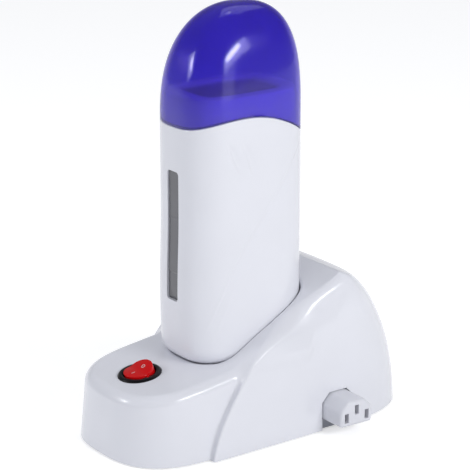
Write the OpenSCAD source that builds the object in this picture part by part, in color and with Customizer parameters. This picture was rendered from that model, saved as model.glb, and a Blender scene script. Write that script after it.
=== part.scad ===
// Roll-on wax heater: a docking base, a lift-out heated handset and a clear cap.
// Millimetres, +Z up, the nose with the switch points to -Y, the free outlet to +X.
// Every piece is drawn about the handset's own axis and then moved by frame().

/* [Base] */
// Distance from the handset axis to the front of the nose
nose_len = 88; // [70:1:110]
// Distance from the handset axis to the back of the hump
rear_len = 104; // [90:1:130]
// Half width of the nose
nose_half = 44; // [36:0.2:52]
// Half width of the hump at the table
hump_half = 48.3; // [42:0.1:58]
// Height of the top edge of the hump
hump_top = 87; // [75:1:105]
// Height of the deck under the middle of the switch
deck_z = 41.1; // [34:0.2:50]
// Rise of the deck towards the handset, degrees
deck_slope = 8.1; // [0:0.1:15]
// Rounding of the deck's edge
deck_r = 6; // [3:0.5:10]
// Wall thickness of the base shell
base_wall = 2.4; // [1.8:0.1:3.5]
// Height the feet hold the shell off the table
foot_gap = 0.8; // [0.4:0.1:3]

/* [Handset] */
// Half depth of the handset, front to back
hand_a = 38.2; // [32:0.1:44]
// Half width of the handset
hand_b = 28; // [22:0.1:34]
// Squareness of the handset's section (2 is an ellipse)
hand_n = 3; // [2:0.1:4]
// Height of the handset's underside when it is docked
hand_z = 44; // [36:0.5:52]
// Rounding of the handset's bottom edge
foot_r = 9; // [5:0.5:12]
// Swell of the handset's front near the deck
hand_bulge = 1.1; // [0:0.1:5]
// Height of the middle of that swell
bulge_z = 82; // [70:1:100]
// Wall thickness of the handset
hand_wall = 2; // [1.5:0.1:3]
// Highest point of the seam between handset and cap
rim_z = 183.5; // [170:0.5:195]
// Fall of that seam towards the back
rim_sag = 17; // [0:0.2:22]
// Top of the white collar inside the cap
collar_top = 195; // [188:0.5:202]
// Width of the viewing window
window_w = 10.5; // [5:0.5:14]
// Lower end of the viewing window
window_z0 = 79.5; // [66:0.5:100]
// Upper end of the viewing window
window_z1 = 153; // [120:1:160]

/* [Cap] */
// Height of the top of the cap above the table
cap_top = 242; // [215:1:260]
// Backward lean of the cap's crown
cap_lean = 6.2; // [0:0.1:12]
// Wall thickness of the cap
cap_wall = 2; // [1.2:0.1:3]

/* [Heating chamber] */
// Half depth of the space for the wax cartridge
well_a = 25.5; // [22:0.5:29]
// Half width of the space for the wax cartridge
well_b = 17; // [14:0.5:20]
// Wall thickness of the aluminium chamber
well_wall = 1.5; // [1:0.1:2.5]
// Height of the chamber's floor
well_z = 74; // [68:1:90]

/* [Switch] */
// Distance from the handset axis forward to the middle of the switch
switch_y = 61.1; // [52:0.1:70]
// Outside radius of the switch bezel
bezel_r = 12.4; // [10:0.1:15]
// Half of the rocker's full swing, degrees
rocker_tilt = 12; // [6:1:14]
// Radius of the rocker's plan
rocker_r = 8.4; // [7:0.1:8.9]

/* [Connectors] */
// Distance from the handset axis back to the middle of the side connectors
port_y = 42.7; // [34:0.1:50]
// Half width of the outlet block
port_half = 11; // [9:0.1:13]
// Height of the outlet block
port_h = 15; // [13:0.1:18]
// Height of the underside of the outlet block
port_z = 6.8; // [6:0.1:14]
// Distance from the middle of the base to the outlet's face
port_face = 61.8; // [56:0.1:70]
// Spacing of the two power slots
slot_pitch = 14; // [10:0.5:16]
// Play around moving and plugged pieces
gap = 0.6; // [0.3:0.05:1]

/* [Hidden] */
$fn = 48;
ring_n = 48;
mid_x = (port_face - hump_half) / 2;
mid_y = (rear_len - nose_len) / 2;
deck_tan = tan(deck_slope);
draft = 2.6;
nose_mid = -42;
nose_n = 2.8;
hump_n = 2.7;
crown_z = rim_z - 5.5;
collar_in = cap_wall + 0.7;
well_n = 5;
well_top = collar_top - 2;
pivot_up = 0.2;
flange_h = 1.2;
pocket_back = -27.2;
live_y = port_y - slot_pitch / 2;
neutral_y = port_y + slot_pitch / 2;
tail_x = pocket_back + 8;
term_y = 22 * sin(deck_slope) - switch_y;
term_z = deck_z - 22 * cos(deck_slope);
cup_z = hand_z - 0.4;
dock_top = cup_z + 14;
slot_z = port_z + 5.3;
earth_z = port_z + 9.3;

// ---------- shape helpers ----------

module frame() translate([-mid_x, -mid_y, 0]) children();

// skin through rings that all have the same number of points, ends closed flat
module loft(rings) {
  n = len(rings[0]);
  m = len(rings);
  polyhedron(
    points = [for (r = rings) each r],
    faces = concat(
      [[for (i = [0 : n - 1]) i]],
      [for (k = [0 : m - 2]) for (i = [0 : n - 1])
        [k * n + i, (k + 1) * n + i, (k + 1) * n + (i + 1) % n]],
      [for (k = [0 : m - 2]) for (i = [0 : n - 1])
        [k * n + i, (k + 1) * n + (i + 1) % n, k * n + (i + 1) % n]],
      [[for (i = [0 : n - 1]) m * n - 1 - i]]));
}

// the same for a wall that is open at both ends: the last ring meets the first
module tube(rings) {
  n = len(rings[0]);
  m = len(rings);
  polyhedron(
    points = [for (r = rings) each r],
    faces = concat(
      [for (k = [0 : m - 1]) for (i = [0 : n - 1])
        [k * n + i, ((k + 1) % m) * n + i, ((k + 1) % m) * n + (i + 1) % n]],
      [for (k = [0 : m - 1]) for (i = [0 : n - 1])
        [k * n + i, ((k + 1) % m) * n + (i + 1) % n, k * n + (i + 1) % n]]));
}

function se(c, n) = sign(c) * pow(abs(c), 2 / n);
function oval(a, b, yc, z, n) = [for (i = [0 : ring_n - 1])
  let (t = 360 * i / ring_n) [b * se(cos(t), n), yc + a * se(sin(t), n), z]];

// handset section at height z, drawn s inside the outer skin
function bulge(z) = abs(z - bulge_z) < 50
  ? hand_bulge * (1 + cos(180 * (z - bulge_z) / 50)) / 2 : 0;
function rim_at(y) = rim_z - rim_sag * (y > -8 ? 1 : 0.8) * pow((y + 8) / 46, 2);
function hand_ring(z, s) = oval(hand_a + bulge(z) / 2 - s, hand_b - s, -bulge(z) / 2, z, hand_n);
function hand_foot(s, r) = [for (k = [0 : 5]) let (w = 18 * k)
  hand_ring(hand_z + foot_r - r * cos(w), s + r * (1 - sin(w)))];
function rim_ring(s, lift) = [for (p = hand_ring(160, s)) [p[0], p[1], rim_at(p[1]) + lift]];

// crown of the cap: the section shrinks and leans back towards the top
function crown_t(z) = max(0, (z - crown_z) / (cap_top - crown_z));
function crown_f(z) = pow(max(0, 1 - pow(crown_t(z), 2.7)), 1 / 2.35);
function crown_ring(z, s) = let (f = crown_f(z), k = (cap_top - s - crown_z) / (cap_top - crown_z))
  oval((hand_a - s) * f, (hand_b - s) * f, cap_lean * pow(crown_t(z), 2.2),
    crown_z + (z - crown_z) * k, hand_n);
crown_levels = [for (k = [0 : 12]) cap_top - 0.03 - (cap_top - crown_z - 12) * pow(k / 12, 1.9)];

// hump: front edge, half width and back edge at height z; the front is a steep curved foot
// that turns into the long ramp
function front_foot(z) = -44.56 + 0.157 * z + 0.0118 * z * z - 0.000074 * z * z * z;
function front_ramp(z) = -19 + 1.45 * (z - 50) + 0.0131 * pow(z - 50, 2);
function hump_front(z) = max(front_foot(z), front_ramp(z))
  + pow(max(0, 4 - abs(front_foot(z) - front_ramp(z))), 2) / 16;
function hump_w(z) = hump_half - 0.062 * z - 5.6 * pow(z / hump_top, 6);
hump_ridge = hump_front(hump_top) + 1.5;
function hump_back(z) = hump_ridge
  + (rear_len - hump_ridge) * pow(max(0, 1 - pow(z / hump_top, 2)), 0.61);
// how far the sides draw in beside the ramp
function hump_pinch(z) = 5.8 * exp(-pow((z - 70.5) / 9, 2));
function hump_ring(z, s) = let (
    f = hump_front(z) + s, r = max(hump_back(z) - s, f + 1), w = hump_w(z) - s,
    v = w - hump_pinch(z),
    c = min(z < 50 ? 1.2 : min(6, 1.2 + (z - 50) * 0.4), (r - f) / 3), m = (f + r) / 2,
    q = foot_gap + (z - foot_gap) * (hump_top - s - foot_gap) / (hump_top - foot_gap))
  concat(
    [for (t = [0 : 7.5 : 180]) [(w - 2.4) * se(cos(t), hump_n), m + (r - m) * se(sin(t), hump_n), q]],
    [for (t = [180 : 22.5 : 270]) [-v + c + c * cos(t), f + c + c * sin(t), q]],
    [for (t = [270 : 22.5 : 360]) [v - c + c * cos(t), f + c + c * sin(t), q]]);
hump_levels = [foot_gap, 8, 16, 24, 32, 40, 46, 52,
  for (u = [0.16 : 0.08 : 0.65]) 50 + (hump_top - 50) * u,
  for (u = [0.72, 0.8, 0.87, 0.93, 0.97, 0.998]) 50 + (hump_top - 50) * u];

// nose: superellipse front, straight sides that run back into the hump
function deck_at(y) = deck_z + deck_tan * (y + switch_y);
function nose_ring(e, drop) = concat(
  [for (t = [180 : 7.5 : 360])
    let (x = (nose_half - e) * se(cos(t), nose_n),
         y = nose_mid + (nose_len + nose_mid - e) * se(sin(t), nose_n))
    [x, y, drop < 0 ? foot_gap : deck_at(y) - drop]],
  [for (x = [nose_half - e, e - nose_half]) [x, 20, drop < 0 ? foot_gap : deck_at(20) - drop]]);
function nose_rings(s) = concat([nose_ring(s, -1)],
  [for (k = [0 : 5]) let (w = 18 * k, r = deck_r - s)
    nose_ring(s + draft + r * (1 - cos(w)), s + r * (1 - sin(w)))]);

module base_solid(s) {
  loft(nose_rings(s));
  loft([for (z = hump_levels) hump_ring(z, s)]);
}

// well for the handset's foot, g outside the handset
module cup(g, drop) translate([0, 0, -drop])
  loft(concat(hand_foot(-g, foot_r), [for (z = [60, 70, 82]) hand_ring(z, -g)],
    [[for (p = hand_ring(82, -g)) [p[0], p[1], 100]]]));

// outline of the side connectors: a block with its two upper corners cut away
module port(g) polygon([
  [-port_half - g, -g], [port_half + g, -g], [port_half + g, port_h - 5.5 + g * 0.4],
  [port_half - 5.5 + g * 0.4, port_h + g], [5.5 - port_half - g * 0.4, port_h + g],
  [-port_half - g, port_h - 5.5 + g * 0.4]]);
// the same outline pulled along X from x0 to x1
module port_bar(x0, x1, g) translate([x0, port_y, port_z])
  rotate([90, 0, 90]) linear_extrude(x1 - x0) port(g);
// a rectangular bar at each of the three contact positions of a side connector
module side_pins(x0, x1, y, z) {
  for (k = [-1, 1]) translate([x0, port_y + k * slot_pitch / 2 - y / 2, slot_z - z / 2])
    cube([x1 - x0, y, z]);
  translate([x0, port_y - y / 2, earth_z - z / 2]) cube([x1 - x0, y, z]);
}
// and of the upright connector under the handset
module dock_pins(z0, z1, y, x) {
  for (k = [-1, 1]) translate([-2 - x / 2, k * slot_pitch / 2 - y / 2, z0]) cube([x, y, z1 - z0]);
  translate([2 - x / 2, -y / 2, z0]) cube([x, y, z1 - z0]);
}
module slab(x, y, z0, z1) translate([-x, -y, z0]) cube([2 * x, 2 * y, z1 - z0]);
function unit(v) = v / norm(v);
// route with its corners rounded, b before and after each corner
function bend(p, b) = [p[0],
  for (i = [1 : len(p) - 2]) let (d = unit(p[i] - p[i - 1]) * b, e = unit(p[i + 1] - p[i]) * b)
    for (t = [0, 0.33, 0.67, 1]) p[i] - d * pow(1 - t, 2) + e * pow(t, 2),
  p[len(p) - 1]];
// insulated wire along a route; side is any direction that no stretch runs along
module wire(route, r, side = [1, 0, 0]) {
  q = bend(route, 1.5);
  last = len(q) - 1;
  loft([for (i = [0 : last])
    let (t = unit(unit(q[min(i + 1, last)] - q[min(i, last - 1)]) + unit(q[max(i, 1)] - q[max(i - 1, 0)])),
         u = unit(cross(t, side)), v = cross(t, u))
    [for (k = [0 : 7]) q[i] + r * (cos(45 * k) * u + sin(45 * k) * v)]]);
}
// screw with a round head below and its shank upwards
module screw(p, h) translate(p) {
  difference() {
    cylinder(r = 2.9, h = 1.6);
    for (a = [0, 90]) rotate(a) translate([-1.7, -0.35, -1]) cube([3.4, 0.7, 1.9]);
  }
  translate([0, 0, 1]) cylinder(r = 1.45, h = h - 1);
}
// rounded upright slot through the front wall
module window_cut(w, z0, z1, y0, y1) {
  r = 2;
  for (x = [r - w / 2, w / 2 - r]) for (z = [z0 + r, z1 - r])
    translate([x, y0, z]) rotate([-90, 0, 0]) cylinder(r = r, h = y1 - y0);
  translate([-w / 2, y0, z0 + r]) cube([w, y1 - y0, z1 - z0 - 2 * r]);
  translate([r - w / 2, y0, z0]) cube([w - 2 * r, y1 - y0, z1 - z0]);
}
module at_switch() translate([0, -switch_y, deck_at(-switch_y)]) rotate([deck_slope, 0, 0]) children();

base_bolts = [[27, -58], [-27, -58], [24, 87], [-24, 87]];
dock_bolts = [[0, 15], [0, -15]];
hand_bolts = [[0, 22.5], [0, -22.5]];

// ---------- base ----------

module base_shell() color("white") frame() difference() {
  union() {
    // one closed skin: outside, inside and the well for the handset
    resize([0, 0, 0]) difference() {
      union() {
        difference() {
          base_solid(0);
          translate([0, 0, -0.01]) base_solid(base_wall);
        }
        intersection() {
          base_solid(0);
          cup(3, 2.8);
        }
      }
      cup(0.8, 0.4);
    }
    for (p = [base_bolts[0], base_bolts[1]])
      translate([p[0], p[1], 3.2]) cylinder(r = 4, h = 37.5);
    for (p = [base_bolts[2], base_bolts[3]]) {
      translate([p[0], p[1], 3.2]) cylinder(r = 4, h = 25);
      translate([p[0] - 1, p[1] + 3, 3.2]) cube([2, 5.2, 25]);
    }
    for (p = dock_bolts) translate([p[0], p[1], 40.8]) cylinder(r = 3, h = 2.2);
  }
  for (p = base_bolts) translate([p[0], p[1], 1]) cylinder(r = 1.5, h = 16);
  for (p = dock_bolts) translate([p[0], p[1], 38]) cylinder(r = 1.5, h = 4.6);
  slab(8.3, 11.3, 36, 50);
  at_switch() translate([0, 0, -6]) cylinder(r = 10.6, h = 12);
  port_bar(36, 52, 0.5);
  translate([36, port_y - port_half - 0.5, -1]) cube([16, 2 * port_half + 1, port_z + 2]);
  port_bar(-52, -36, 2.5);
}

module plate_outline(s, z0, z1) translate([0, 0, z0]) {
  linear_extrude(z1 - z0) polygon([for (p = nose_ring(s, -1)) [p[0], p[1]]]);
  linear_extrude(z1 - z0) polygon([for (p = hump_ring(foot_gap, s)) [p[0], p[1]]]);
}
foot_spots = [[22, -72], [-22, -72], [32, 68], [-32, 68]];
vent_rows = [-30, -22, -14, -6, 2, 10];
module base_bottom_plate() color("gainsboro") frame() difference() {
  union() {
    plate_outline(base_wall + 0.4, foot_gap, foot_gap + 2.4);
    // tab that closes the wall under the outlet
    translate([40.6, port_y - port_half, foot_gap]) cube([2.4, 2 * port_half, port_z - foot_gap - 0.5]);
  }
  for (p = foot_spots) translate([p[0], p[1], 0]) cylinder(r = 6.1, h = foot_gap + 0.6);
  for (p = base_bolts) translate([p[0], p[1], 0]) {
    cylinder(r = 3.3, h = foot_gap + 1.2);
    cylinder(r = 1.7, h = 5);
  }
  for (y = vent_rows) translate([-14, y, 0]) cube([28, 2.4, 5]);
}
module base_feet() color("dimgray") frame()
  for (p = foot_spots) translate([p[0], p[1], 0]) cylinder(r = 6, h = foot_gap + 0.6);
module base_screws() color("silver") frame()
  for (p = base_bolts) screw([p[0], p[1], foot_gap - 0.4], 13);

// ---------- switch ----------

module switch_housing() color([0.14, 0.14, 0.15]) frame() at_switch() difference() {
  union() {
    cylinder(r1 = bezel_r, r2 = bezel_r - 0.7, h = flange_h);
    translate([0, 0, -14]) cylinder(r = 10.4, h = 14.5);
  }
  intersection() {
    translate([0, 0, -12]) cylinder(r = 9.45, h = 20);
    slab(8.4, 12, -12, 8);
  }
  translate([-9.6, 0, pivot_up]) rotate([0, 90, 0]) cylinder(r = 1.25, h = 19.2);
  for (y = [-6, 0, 6]) translate([-2.5, y - 0.5, -15]) cube([5, 1, 4]);
}
module rocker_profile() {
  t = tan(rocker_tilt);
  polygon([[-9.5, -3], [9.5, -3], [9.5, 1.8 + 9.5 * t], [0, 1.8], [-9.5, 1.8 + 9.5 * t]]);
}
module switch_rocker() color("red") frame() at_switch()
  translate([0, 0, pivot_up]) rotate([rocker_tilt, 0, 0]) {
    intersection() {
      translate([-8, 0, 0]) rotate([90, 0, 90]) linear_extrude(16) rocker_profile();
      translate([-9, 0, 0]) rotate([0, 90, 0]) cylinder(r = 9, h = 18);
      translate([0, 0, -4]) cylinder(r = rocker_r, h = 12);
    }
    slab(3, 2, -7.5, -2.5);
    translate([-9.3, 0, 0]) rotate([0, 90, 0]) cylinder(r = 1.2, h = 18.6);
  }
module switch_contact() color("goldenrod") frame() at_switch() difference() {
  union() {
    slab(2.2, 7, -11, -10.4);
    slab(2.2, 0.4, -11.1, -9.6);
  }
  for (y = [-6, 6]) translate([0, y, -12]) cylinder(r = 0.6, h = 3);
}
module switch_terminals() color("goldenrod") frame() at_switch()
  for (y = [-6, 0, 6]) difference() {
    translate([-2.4, y - 0.4, -22]) cube([4.8, 0.8, y == 0 ? 10.9 : 10.5]);
    translate([0, y + 1, -19]) rotate([90, 0, 0]) cylinder(r = 0.8, h = 2);
  }

// ---------- side connectors ----------

module side_outlet() color("white") frame() difference() {
  union() {
    port_bar(38, port_face, 0);
    port_bar(39, 41, 2.6);
  }
  side_pins(port_face - 1.6, port_face + 1, 2.5, 5);
  side_pins(44, port_face - 1.5, 4.4, 6.4);
  side_pins(37, 45, 1.2, 3.2);
  // the flange stops short of the tab of the bottom plate
  translate([38.5, port_y - 20, 0]) cube([3, 40, port_z - 0.3]);
}
module side_outlet_contacts() color("goldenrod") frame() difference() {
  union() {
    side_pins(45, 57, 4, 6);
    side_pins(31, 46, 0.8, 2.8);
  }
  side_pins(46, 58, 3.2, 5.2);
}
module side_inlet() color("white") frame() difference() {
  union() {
    port_bar(-44.6, pocket_back + 2, 2.2);
    port_bar(-41, -39, 4);
  }
  // the flange is cut off just above the bottom plate
  translate([-42, port_y - 20, 0]) cube([4, 40, 3.7]);
  port_bar(-46, pocket_back, gap);
  side_pins(pocket_back - 1, pocket_back + 3, 2.05, 4.05);
}
module side_inlet_pins() color("silver") frame() {
  side_pins(-42, pocket_back + 2, 2, 4);
  side_pins(pocket_back + 1.9, pocket_back + 8, 0.8, 3);
}

// ---------- dock ----------

module dock_socket() color("white") frame() difference() {
  union() {
    slab(8, port_half, 34, dock_top);
    slab(10.5, 18.5, 38.6, 40.8);
  }
  dock_pins(dock_top - 1.6, dock_top + 1, 2.6, 4.6);
  dock_pins(38, dock_top - 1.5, 4.4, 6.4);
  dock_pins(33, 39, 1.2, 3.2);
  for (p = dock_bolts) translate([p[0], p[1], 38]) cylinder(r = 1.7, h = 5);
}
module dock_socket_contacts() color("goldenrod") frame() difference() {
  union() {
    dock_pins(39, 54, 4, 6);
    dock_pins(28, 40, 0.8, 2.8);
  }
  dock_pins(40, 55, 3.2, 5.2);
}
module dock_screws() color("silver") frame() for (p = dock_bolts) screw([p[0], p[1], 37], 5.4);

// ---------- wiring in the base ----------

module wire_live() color("saddlebrown") frame() {
  wire([[tail_x, live_y, slot_z + 1.1], [-12, live_y - 3, slot_z + 1.1], [-8, 20, 12],
    [-6, -30, 10], [0, -50, 9], [0, term_y, 12], [0, term_y, term_z]], 1, [1, 0, 0.2]);
  wire([[0, term_y + 6, term_z + 0.7], [0, term_y + 6, 15], [-2, -30, 14],
    [-2, -12, 18], [-2, -7, 23], [-2, -7, 28]], 1);
  wire([[tail_x, live_y, slot_z - 1.1], [0, live_y, 9], [20, live_y, 9], [31, live_y, slot_z]], 1, [0, 1, 0]);
}
module wire_neutral() color("steelblue") frame() {
  wire([[tail_x, neutral_y, slot_z - 1.1], [0, neutral_y, 9], [20, neutral_y, 9],
    [31, neutral_y, slot_z]], 1, [0, 1, 0]);
  wire([[tail_x, neutral_y, slot_z + 1.1], [-12, neutral_y - 2, 15], [-3, 26, 16],
    [-2, 10, 20], [-2, 7, 24], [-2, 7, 28]], 1, [1, 1, 0]);
}
module wire_earth() color("yellowgreen") frame() {
  wire([[tail_x, port_y, earth_z + 1.1], [-10, 41, 22], [14, 41, 22], [31, port_y, earth_z]], 1, [0, 1, 0]);
  wire([[tail_x, port_y, earth_z - 1.1], [-13, 40, 17], [4, 30, 23], [3, 6, 22],
    [2, 0, 24], [2, 0, 28]], 1, [1, 1, 0]);
}

// ---------- handset ----------

body_levels = [60, 70, 82, 95, 108, 120, 134, 160];
module handset_body() color("white") frame() difference() {
  union() {
    tube(concat(
      [rim_ring(hand_wall, 0)],
      [for (k = [len(body_levels) - 1 : -1 : 0]) hand_ring(body_levels[k], hand_wall)],
      [for (k = [5 : -1 : 0]) hand_foot(hand_wall, foot_r - hand_wall)[k]],
      hand_foot(0, foot_r),
      [for (z = body_levels) hand_ring(z, 0)],
      [rim_ring(0, 0)]));
    for (p = hand_bolts) {
      translate([p[0], p[1], 48]) cylinder(r = 3, h = 12);
      translate([-1, p[1] > 0 ? p[1] + 2 : p[1] - 15.8, 52]) cube([2, 13.8, 8]);
    }
  }
  for (p = hand_bolts) translate([p[0], p[1], 46]) cylinder(r = 1.5, h = 11);
  window_cut(window_w, window_z0, window_z1, -50, -33);
}
module handset_collar() color("white") frame() difference() {
  union() {
    loft([oval(hand_a - 2.1, hand_b - 2.1, 0, 157, hand_n),
      oval(hand_a - 2.1, hand_b - 2.1, 0, 165, hand_n),
      oval(hand_a - collar_in, hand_b - collar_in, 0, 166, hand_n),
      oval(hand_a - collar_in, hand_b - collar_in, 0, 180, hand_n),
      oval(hand_a - collar_in - 0.7, hand_b - collar_in - 0.6, 0.3, collar_top - 1.2, hand_n),
      oval(hand_a - collar_in - 1.9, hand_b - collar_in - 1.8, 0.3, collar_top, hand_n)]);
  }
  loft([oval(hand_a - 4.1, hand_b - 4.1, 0, 156, hand_n),
    oval(hand_a - 4.1, hand_b - 4.1, 0, 164, hand_n),
    oval(hand_a - 4.7, hand_b - 4.7, 0, 165.5, hand_n),
    oval(hand_a - 4.7, hand_b - 4.7, 0, 180, hand_n),
    oval(hand_a - 5.4, hand_b - 5.3, 0.3, collar_top - 2, hand_n)]);
  loft([oval(well_a, well_b, 0, collar_top - 3, well_n), oval(well_a, well_b, 0, collar_top + 1, well_n)]);
}
module handset_cover() color("white") frame() difference() {
  union() {
    loft([hand_ring(hand_z, foot_r + 0.3), hand_ring(hand_z + 2.6, foot_r + 0.3)]);
    loft([hand_ring(hand_z + 2.6, foot_r - 2), hand_ring(hand_z + 3.8, foot_r - 2)]);
  }
  slab(10.5, 13.5, hand_z - 1, hand_z + 6);
  for (p = hand_bolts) translate([p[0], p[1], hand_z - 1]) {
    cylinder(r = 3.3, h = 2.4);
    cylinder(r = 1.7, h = 6);
  }
}
module handset_screws() color("silver") frame()
  for (p = hand_bolts) screw([p[0], p[1], hand_z - 0.2], 12);
module handset_inlet() color([0.9, 0.9, 0.92]) frame() difference() {
  union() {
    slab(10.2, 13.2, hand_z + 0.4, dock_top + 3);
    slab(12, 15, hand_z + 3.9, hand_z + 5.5);
  }
  slab(8.6, 11.6, hand_z - 1, dock_top + 1);
  dock_pins(dock_top, dock_top + 4, 2.05, 4.05);
  for (p = hand_bolts) translate([p[0], p[1], hand_z + 3]) cylinder(r = 3.4, h = 4);
}
module handset_inlet_pins() color("silver") frame() {
  dock_pins(hand_z + 3.5, dock_top + 3, 2, 4);
  dock_pins(dock_top + 2.9, dock_top + 8, 0.8, 3);
}
module window_lens() color([0.45, 0.45, 0.5, 0.6]) frame() {
  intersection() {
    tube(lens_rings(hand_wall + 0.1, hand_wall + 1.3));
    window_cut(window_w + 5, window_z0 - 3, window_z1 + 3, -50, -30);
  }
  intersection() {
    tube(lens_rings(0.7, hand_wall + 0.2));
    window_cut(window_w - 0.3, window_z0 + 0.15, window_z1 - 0.15, -50, -30);
  }
}
lens_levels = [70, 82, 95, 108, 120, 134, 160];
function lens_rings(s0, s1) = concat(
  [for (k = [len(lens_levels) - 1 : -1 : 0]) hand_ring(lens_levels[k], s1)],
  [for (z = lens_levels) hand_ring(z, s0)]);

// ---------- heating ----------

module heater_chamber() color("silver") frame() difference() {
  union() {
    loft([oval(well_a + well_wall, well_b + well_wall, 0, well_z - 2, well_n),
      oval(well_a + well_wall, well_b + well_wall, 0, well_top - 0.5, well_n)]);
    loft([oval(well_a + 4, well_b + 4, 0, well_top - 2, well_n),
      oval(well_a + 4, well_b + 4, 0, well_top, well_n)]);
  }
  loft([oval(well_a, well_b, 0, well_z, well_n), oval(well_a, well_b, 0, well_top + 1, well_n)]);
  window_cut(window_w - 1, window_z0 + 2, window_z1 - 2, -30, -20);
}
module heater_elements() color("dimgray") frame() for (k = [-1, 1])
  translate([k > 0 ? well_b + well_wall : -well_b - well_wall - 2.6, -14, 92]) cube([2.6, 28, 56]);
// upright bar with its four corners cut away, half sizes x and y
module cut_bar(x, y, c, z0, z1) translate([0, 0, z0]) linear_extrude(z1 - z0) polygon([
  [x, c - y], [x, y - c], [x - c, y], [c - x, y], [-x, y - c], [-x, c - y], [c - x, -y], [x - c, -y]]);
module heater_clamp() color("lightsteelblue") frame() difference() {
  cut_bar(well_b + well_wall + 3.4, well_a + well_wall + 0.8, 5, 112, 126);
  cut_bar(well_b + well_wall + 2.6, well_a + well_wall, 4.7, 111, 127);
}
module thermostat() color("gray") frame() {
  translate([0, well_a + well_wall, 98]) rotate([-90, 0, 0]) cylinder(r = 7, h = 4.5);
  translate([0, well_a + well_wall + 4, 98]) rotate([-90, 0, 0]) cylinder(r = 4, h = 1.6);
  for (x = [-5, 5]) translate([x - 1.5, well_a + well_wall + 1.5, 88]) cube([3, 0.8, 5.5]);
}
module thermal_fuse() color("lightgray") frame() {
  translate([0, well_a + well_wall + 2, 134]) cylinder(r = 2, h = 11);
  translate([0, well_a + well_wall + 2, 128]) cylinder(r = 0.6, h = 24);
}
module lead_live() color("saddlebrown") frame() {
  wire([[-2, 7, dock_top + 8], [-2, 7, 69], [-5, 28.9, 69], [-5, 28.9, 88]], 0.9);
  wire([[5, 28.9, 88], [5, 28.9, 84], [12, 29.2, 84], [12, 29.2, 110], [0, 29.2, 121],
    [0, well_a + well_wall + 2, 128]], 0.9, [0, 1, 0]);
  for (k = [-1, 1])
    wire([[k * 0.9, 29, 152], [k * 0.9, 29, 155.5], [k * 14, 27.7, 155], [k * 20, 22, 155],
      [k * 19.8, 12, 155], [k * 19.8, 0, 154.5], [k * 19.8, 0, 148]], 0.8, [1, 0.5, 1]);
}
module lead_neutral() color("steelblue") frame() for (k = [-1, 1])
  wire([[k - 2, -7, dock_top + 8], [k - 2, -7, 69], [k * 19.8, -2, 69.3], [k * 19.8, 0, 76],
    [k * 19.8, 0, 92]], 0.8, [0, 1, 0]);

// ---------- cap ----------

module cap() color([0.25, 0.18, 0.62, 0.8]) frame() loft(concat(
  [for (z = crown_levels) crown_ring(z, cap_wall)],
  [[for (p = crown_ring(crown_z, cap_wall)) [p[0], p[1], rim_at(p[1]) + 0.3]]],
  [[for (p = crown_ring(crown_z, 0)) [p[0], p[1], rim_at(p[1]) + 0.3]]],
  [for (k = [len(crown_levels) - 1 : -1 : 0]) crown_ring(crown_levels[k], 0)]));

base_shell();
base_bottom_plate();
base_feet();
base_screws();
switch_housing();
switch_rocker();
switch_contact();
switch_terminals();
side_outlet();
side_outlet_contacts();
side_inlet();
side_inlet_pins();
dock_socket();
dock_socket_contacts();
dock_screws();
wire_live();
wire_neutral();
wire_earth();
handset_body();
handset_collar();
handset_cover();
handset_screws();
handset_inlet();
handset_inlet_pins();
window_lens();
heater_chamber();
heater_elements();
heater_clamp();
thermostat();
thermal_fuse();
lead_live();
lead_neutral();
cap();
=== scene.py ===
import math

import bmesh
import bpy
import numpy as np
from mathutils import Matrix, Vector


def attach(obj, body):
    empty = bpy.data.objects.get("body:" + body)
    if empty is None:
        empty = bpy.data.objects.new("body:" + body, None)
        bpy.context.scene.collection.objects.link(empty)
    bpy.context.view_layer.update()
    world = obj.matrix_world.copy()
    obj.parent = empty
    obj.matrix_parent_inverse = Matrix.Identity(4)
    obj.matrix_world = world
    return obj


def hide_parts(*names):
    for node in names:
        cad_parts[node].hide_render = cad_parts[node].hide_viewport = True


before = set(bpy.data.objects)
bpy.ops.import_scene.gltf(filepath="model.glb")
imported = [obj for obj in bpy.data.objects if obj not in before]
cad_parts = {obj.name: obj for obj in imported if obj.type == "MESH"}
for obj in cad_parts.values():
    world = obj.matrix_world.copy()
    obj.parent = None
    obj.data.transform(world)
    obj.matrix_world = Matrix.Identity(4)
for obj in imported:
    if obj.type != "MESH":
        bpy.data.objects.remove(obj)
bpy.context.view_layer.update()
print("frame loaded")

mm = 0.001
handsetAxis = Vector((-6.75, -8.0, 0.0)) * mm  # the handset's own axis, where every piece is drawn


# ---- small tools ----

def colour(code):
    # sRGB hex to linear
    parts = [int(code[i:i + 2], 16) / 255 for i in (1, 3, 5)]
    return [p / 12.92 if p <= 0.04045 else ((p + 0.055) / 1.055) ** 2.4 for p in parts] + [1.0]


def mapGrid(points, weld=1e-6):
    # a grid pulled onto points[i, j] (millimetres), seams and poles welded
    nu, nv = points.shape[0] - 1, points.shape[1] - 1
    bm = bmesh.new()
    bmesh.ops.create_grid(bm, x_segments=nu, y_segments=nv, size=0.5)
    for v in bm.verts:
        i, j = round((v.co.x + 0.5) * nu), round((v.co.y + 0.5) * nv)
        v.co = Vector(points[i, j]) * mm
    bmesh.ops.remove_doubles(bm, verts=bm.verts, dist=weld)
    return bm


def makePiece(name, bm, body, material, nodes=(), sharp=35, smooth=True):
    # a finished piece: moved from the handset's axis into the row frame, and riding on its body
    bmesh.ops.translate(bm, verts=bm.verts, vec=handsetAxis)
    bmesh.ops.recalc_face_normals(bm, faces=bm.faces)
    mesh = bpy.data.meshes.new(name)
    bm.to_mesh(mesh)
    bm.free()
    piece = bpy.data.objects.new(name, mesh)
    bpy.context.scene.collection.objects.link(piece)
    finishPiece(piece, body, material, nodes, sharp, smooth)
    return piece


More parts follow.
